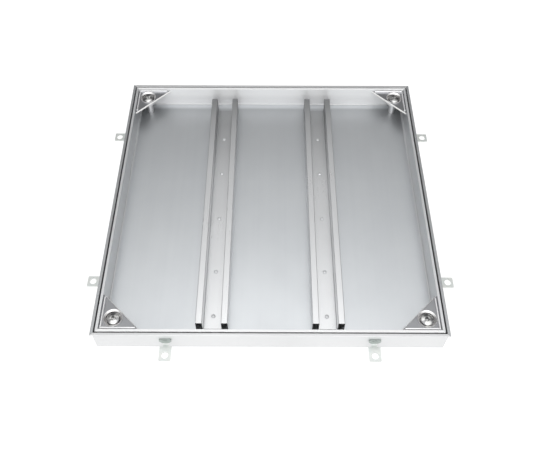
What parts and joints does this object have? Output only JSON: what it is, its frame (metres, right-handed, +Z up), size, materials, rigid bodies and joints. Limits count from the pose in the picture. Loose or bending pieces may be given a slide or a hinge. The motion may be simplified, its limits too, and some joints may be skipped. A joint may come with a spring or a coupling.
{
  "type": "recessed floor access cover",
  "caption": "Square floor access cover: anchored angle frame with a lift-out infill tray, stiffening rails and locking sockets in the corners.",
  "frame": {"origin": "centre of the frame's underside", "axes": "+Z up, out of the floor; +Y to the back, along the rails; +X to the right"},
  "size_m": [0.836, 0.836, 0.062],
  "materials": {
    "frame_aluminium": "mill-finish extrusion, satin, fine lengthwise die lines",
    "tray_aluminium": "mill-finish sheet and extrusion, satin, fine rolling grain",
    "rail_sheet": "folded sheet, satin, fine lengthwise grain",
    "gusset_plate": "brushed stainless steel, satin",
    "socket_steel": "turned stainless steel, bright chamfer",
    "screw_steel": "polished stainless steel",
    "zinc_plated_steel": "bright zinc plate, slightly greenish",
    "rivet_steel": "plain stainless steel",
    "seal_rubber": "black closed-cell rubber, matt"
  },
  "bodies": {
    "frame": {"frame_front": "frame_aluminium", "frame_right": "frame_aluminium", "frame_back": "frame_aluminium", "frame_left": "frame_aluminium", "anchor_lug_front_a": "zinc_plated_steel", "anchor_lug_front_b": "zinc_plated_steel", "anchor_lug_right_a": "zinc_plated_steel", "anchor_lug_right_b": "zinc_plated_steel", "anchor_lug_back_a": "zinc_plated_steel", "anchor_lug_back_b": "zinc_plated_steel", "anchor_lug_left_a": "zinc_plated_steel", "anchor_lug_left_b": "zinc_plated_steel", "lug_rivet_front_a": "rivet_steel", "lug_rivet_front_b": "rivet_steel", "lug_rivet_right_a": "rivet_steel", "lug_rivet_right_b": "rivet_steel", "lug_rivet_back_a": "rivet_steel", "lug_rivet_back_b": "rivet_steel", "lug_rivet_left_a": "rivet_steel", "lug_rivet_left_b": "rivet_steel", "lock_plate_front_left": "zinc_plated_steel", "lock_plate_front_right": "zinc_plated_steel", "lock_plate_back_right": "zinc_plated_steel", "lock_plate_back_left": "zinc_plated_steel", "frame_gasket": "seal_rubber"},
    "tray": {"tray_edge_front": "tray_aluminium", "tray_edge_right": "tray_aluminium", "tray_edge_back": "tray_aluminium", "tray_edge_left": "tray_aluminium", "tray_floor": "tray_aluminium", "rail_left": "rail_sheet", "rail_right": "rail_sheet", "rail_rivet_left_1": "rivet_steel", "rail_rivet_left_2": "rivet_steel", "rail_rivet_left_3": "rivet_steel", "rail_rivet_left_4": "rivet_steel", "rail_rivet_left_5": "rivet_steel", "rail_rivet_right_1": "rivet_steel", "rail_rivet_right_2": "rivet_steel", "rail_rivet_right_3": "rivet_steel", "rail_rivet_right_4": "rivet_steel", "rail_rivet_right_5": "rivet_steel", "gusset_front_left": "gusset_plate", "gusset_front_right": "gusset_plate", "gusset_back_right": "gusset_plate", "gusset_back_left": "gusset_plate", "socket_front_left": "socket_steel", "socket_front_right": "socket_steel", "socket_back_right": "socket_steel", "socket_back_left": "socket_steel"},
    "washer_front_left": {"washer_front_left": "seal_rubber"},
    "screw_front_left": {"screw_front_left": "screw_steel"},
    "washer_front_right": {"washer_front_right": "seal_rubber"},
    "screw_front_right": {"screw_front_right": "screw_steel"},
    "washer_back_right": {"washer_back_right": "seal_rubber"},
    "screw_back_right": {"screw_back_right": "screw_steel"},
    "washer_back_left": {"washer_back_left": "seal_rubber"},
    "screw_back_left": {"screw_back_left": "screw_steel"}
  },
  "joints": [
    {"name": "tray_lift", "type": "slide", "parent": "frame", "child": "tray", "axis": [0, 0, 1], "range_m": [0, 0.15]},
    {"name": "screw_rise_front_left", "type": "slide", "parent": "tray", "child": "washer_front_left", "axis": [0, 0, 1], "range_m": [0, 0.0106]},
    {"name": "screw_turn_front_left", "type": "hinge", "parent": "washer_front_left", "child": "screw_front_left", "pos_m": [-0.3365, -0.3365, 0.0481], "axis": [0, 0, 1], "range_deg": [0, 2160]},
    {"name": "screw_rise_front_right", "type": "slide", "parent": "tray", "child": "washer_front_right", "axis": [0, 0, 1], "range_m": [0, 0.0106]},
    {"name": "screw_turn_front_right", "type": "hinge", "parent": "washer_front_right", "child": "screw_front_right", "pos_m": [0.3365, -0.3365, 0.0481], "axis": [0, 0, 1], "range_deg": [0, 2160]},
    {"name": "screw_rise_back_right", "type": "slide", "parent": "tray", "child": "washer_back_right", "axis": [0, 0, 1], "range_m": [0, 0.0106]},
    {"name": "screw_turn_back_right", "type": "hinge", "parent": "washer_back_right", "child": "screw_back_right", "pos_m": [0.3365, 0.3365, 0.0481], "axis": [0, 0, 1], "range_deg": [0, 2160]},
    {"name": "screw_rise_back_left", "type": "slide", "parent": "tray", "child": "washer_back_left", "axis": [0, 0, 1], "range_m": [0, 0.0106]},
    {"name": "screw_turn_back_left", "type": "hinge", "parent": "washer_back_left", "child": "screw_back_left", "pos_m": [-0.3365, 0.3365, 0.0481], "axis": [0, 0, 1], "range_deg": [0, 2160]}
  ],
  "couplings": [
    {"joint": "screw_rise_front_left", "follows": "screw_turn_front_left", "m_per_rad": 0.00027852},
    {"joint": "screw_rise_front_right", "follows": "screw_turn_front_right", "m_per_rad": 0.00027852},
    {"joint": "screw_rise_back_right", "follows": "screw_turn_back_right", "m_per_rad": 0.00027852},
    {"joint": "screw_rise_back_left", "follows": "screw_turn_back_left", "m_per_rad": 0.00027852}
  ]
}
